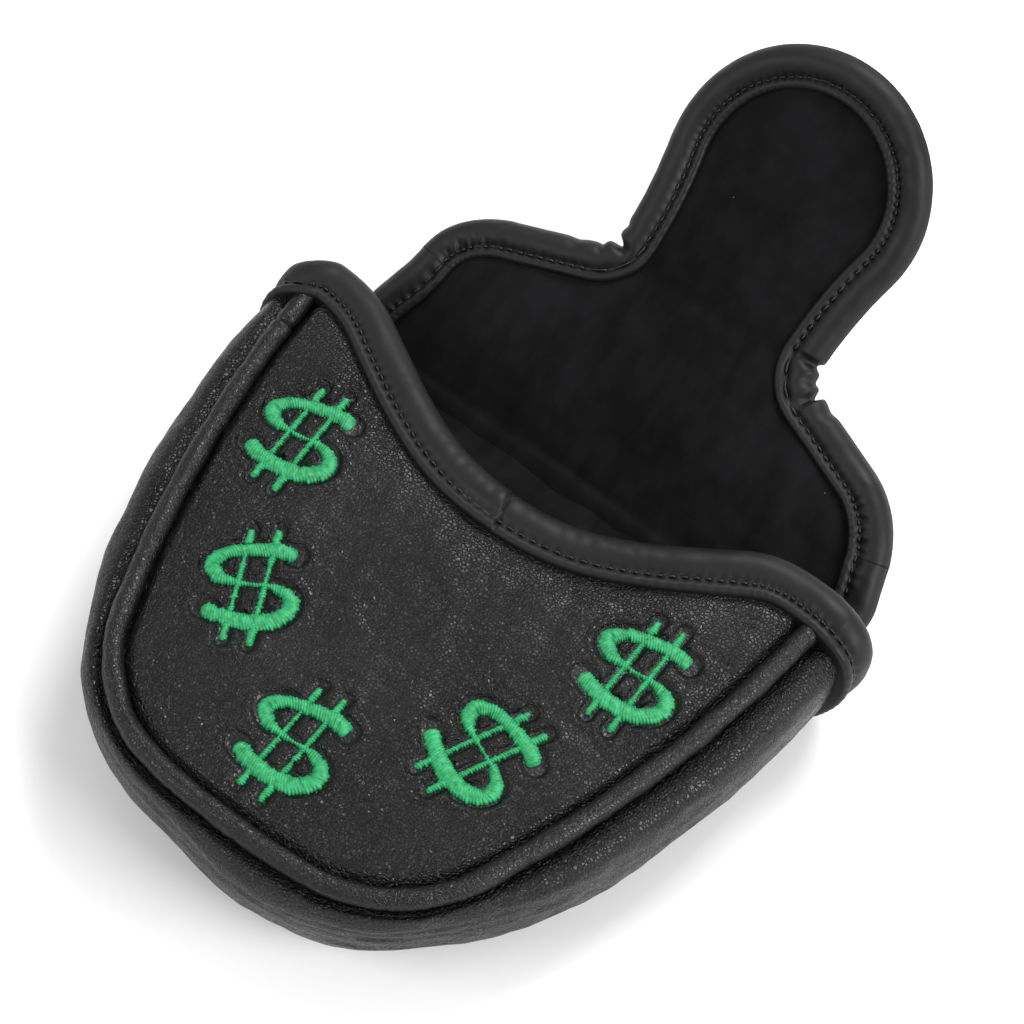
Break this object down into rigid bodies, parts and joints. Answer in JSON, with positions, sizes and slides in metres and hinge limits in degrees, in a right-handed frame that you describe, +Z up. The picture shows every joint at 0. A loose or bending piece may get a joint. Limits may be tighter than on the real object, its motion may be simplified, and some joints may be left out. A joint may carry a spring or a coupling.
{
  "type": "putter head cover",
  "caption": "Padded D-shaped cover for a mallet putter head: a soft pouch with piped seams, a bound open mouth and a magnetic fold-over flap.",
  "frame": {"origin": "on the flat face of the back panel, on the cover's middle plane, under the front magnet's side of the panel centre", "axes": "+X along the mouth to the right, +Y from the rounded nose towards the mouth and the flap, +Z up from the back panel to the front panel"},
  "size_m": [0.1506, 0.2191, 0.0665],
  "materials": {
    "grain_leather": "satin pebble grain",
    "binding_leather": "smooth matte",
    "velvet": "short pile velvet",
    "foam": "closed foam",
    "black_thread": "satin thread",
    "green_thread": "glossy embroidery thread",
    "piping_cord": "matte",
    "magnet": "nickel plate",
    "patch_fabric": "felted"
  },
  "bodies": {
    "pouch": {"front_panel_leather": "grain_leather", "front_panel_foam": "foam", "front_panel_lining": "velvet", "gusset_leather": "grain_leather", "gusset_foam": "foam", "gusset_lining": "velvet", "back_panel_leather": "grain_leather", "back_panel_foam": "foam", "back_panel_lining": "velvet", "front_piping_cover": "grain_leather", "front_piping_cord": "piping_cord", "back_piping_cover": "grain_leather", "back_piping_cord": "piping_cord", "mouth_binding": "binding_leather", "mouth_binding_stitches": "black_thread", "front_magnet": "magnet", "front_magnet_patch": "patch_fabric", "dollar_sign_1": "green_thread", "dollar_sign_2": "green_thread", "dollar_sign_3": "green_thread", "dollar_sign_4": "green_thread", "dollar_sign_5": "green_thread"},
    "flap_base": {"flap_base_leather": "grain_leather", "flap_base_foam": "foam", "flap_base_lining": "velvet", "flap_base_binding": "binding_leather", "flap_base_stitches": "black_thread"},
    "flap_tongue": {"flap_tongue_leather": "grain_leather", "flap_tongue_foam": "foam", "flap_tongue_lining": "velvet", "flap_tongue_binding": "binding_leather", "flap_tongue_stitches": "black_thread", "flap_magnet": "magnet", "flap_magnet_patch": "patch_fabric"}
  },
  "joints": [
    {"name": "mouth_fold", "type": "hinge", "parent": "pouch", "child": "flap_base", "pos_m": [0, 0.0645, 0.0038], "axis": [1, 0, 0], "range_deg": [-22, 57]},
    {"name": "neck_fold", "type": "hinge", "parent": "flap_base", "child": "flap_tongue", "pos_m": [0, 0.10489, 0.02582], "axis": [1, 0, 0], "range_deg": [-12, 94]}
  ]
}
